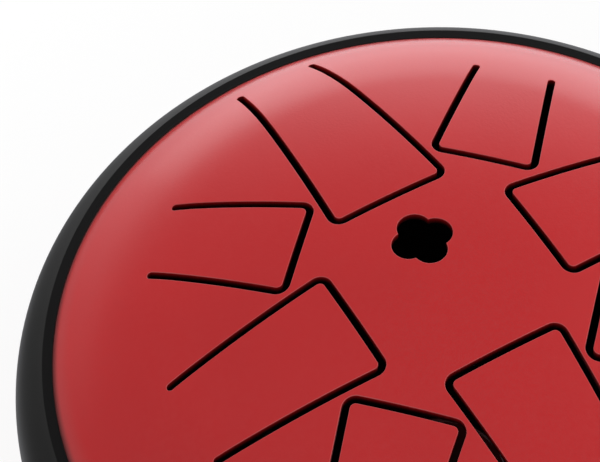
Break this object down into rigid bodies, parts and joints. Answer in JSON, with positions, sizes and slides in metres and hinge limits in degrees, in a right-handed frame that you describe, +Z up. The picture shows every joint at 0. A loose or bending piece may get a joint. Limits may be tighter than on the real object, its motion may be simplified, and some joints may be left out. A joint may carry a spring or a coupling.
{
  "type": "tongue drum",
  "caption": "Round domed steel tongue drum, satin red, with slotted spring tongues, a lobed sound hole, a black rubber rim ring and rubber feet.",
  "frame": {"origin": "on the surface the drum stands on, under the middle of the drum", "axes": "+Z up through the middle of the dome, +Y from the middle towards the sound hole, +X to the right of a player who faces +Y"},
  "size_m": [0.2406, 0.2406, 0.1203],
  "materials": {
    "red_paint": "satin red paint on pressed steel sheet",
    "black_rubber": "matte moulded rubber",
    "bare_steel": "plain zinc-grey steel"
  },
  "bodies": {
    "drum_body": {"top_shell": "red_paint", "bottom_shell": "red_paint", "seam_weld": "bare_steel", "rim_ring": "black_rubber", "foot_1": "black_rubber", "foot_2": "black_rubber", "foot_3": "black_rubber", "foot_4": "black_rubber", "foot_washer_1": "bare_steel", "foot_washer_2": "bare_steel", "foot_washer_3": "bare_steel", "foot_washer_4": "bare_steel", "foot_screw_1": "bare_steel", "foot_screw_2": "bare_steel", "foot_screw_3": "bare_steel", "foot_screw_4": "bare_steel", "rivet_nut_1": "bare_steel", "rivet_nut_2": "bare_steel", "rivet_nut_3": "bare_steel", "rivet_nut_4": "bare_steel"},
    "tongue_1_blade": {"tongue_1": "red_paint"},
    "tongue_2_blade": {"tongue_2": "red_paint"},
    "tongue_3_blade": {"tongue_3": "red_paint"},
    "tongue_4_blade": {"tongue_4": "red_paint"},
    "tongue_5_blade": {"tongue_5": "red_paint"},
    "tongue_6_blade": {"tongue_6": "red_paint"},
    "tongue_7_blade": {"tongue_7": "red_paint"},
    "tongue_8_blade": {"tongue_8": "red_paint"}
  },
  "joints": [
    {"name": "tongue_1_flex", "type": "hinge", "parent": "drum_body", "child": "tongue_1_blade", "pos_m": [0.00034, -0.0966, 0.0946], "axis": [-1, -0.0035, 0], "range_deg": [-1, 1], "stiffness_Nm_per_rad": 308},
    {"name": "tongue_2_flex", "type": "hinge", "parent": "drum_body", "child": "tongue_2_blade", "pos_m": [0.0005, 0.0947, 0.0961], "axis": [1, -0.0052, 0], "range_deg": [-0.9, 0.9], "stiffness_Nm_per_rad": 309},
    {"name": "tongue_3_flex", "type": "hinge", "parent": "drum_body", "child": "tongue_3_blade", "pos_m": [0.08499, 0.00104, 0.1024], "axis": [0.0122, -0.9999, 0], "range_deg": [-0.8, 0.8], "stiffness_Nm_per_rad": 358},
    {"name": "tongue_4_flex", "type": "hinge", "parent": "drum_body", "child": "tongue_4_blade", "pos_m": [-0.0767, 0, 0.1062], "axis": [0, 1, 0], "range_deg": [-0.7, 0.7], "stiffness_Nm_per_rad": 440},
    {"name": "tongue_5_flex", "type": "hinge", "parent": "drum_body", "child": "tongue_5_blade", "pos_m": [-0.0618, -0.06052, 0.1016], "axis": [-0.6997, 0.7145, 0], "range_deg": [-0.6, 0.6], "stiffness_Nm_per_rad": 445},
    {"name": "tongue_6_flex", "type": "hinge", "parent": "drum_body", "child": "tongue_6_blade", "pos_m": [0.05963, -0.05658, 0.1039], "axis": [-0.6884, -0.7254, 0], "range_deg": [-0.6, 0.6], "stiffness_Nm_per_rad": 452},
    {"name": "tongue_7_flex", "type": "hinge", "parent": "drum_body", "child": "tongue_7_blade", "pos_m": [0.05701, 0.05641, 0.1048], "axis": [0.7034, -0.7108, 0], "range_deg": [-0.5, 0.5], "stiffness_Nm_per_rad": 458},
    {"name": "tongue_8_flex", "type": "hinge", "parent": "drum_body", "child": "tongue_8_blade", "pos_m": [-0.05637, 0.05578, 0.1052], "axis": [0.7034, 0.7108, 0], "range_deg": [-0.5, 0.5], "stiffness_Nm_per_rad": 488}
  ]
}
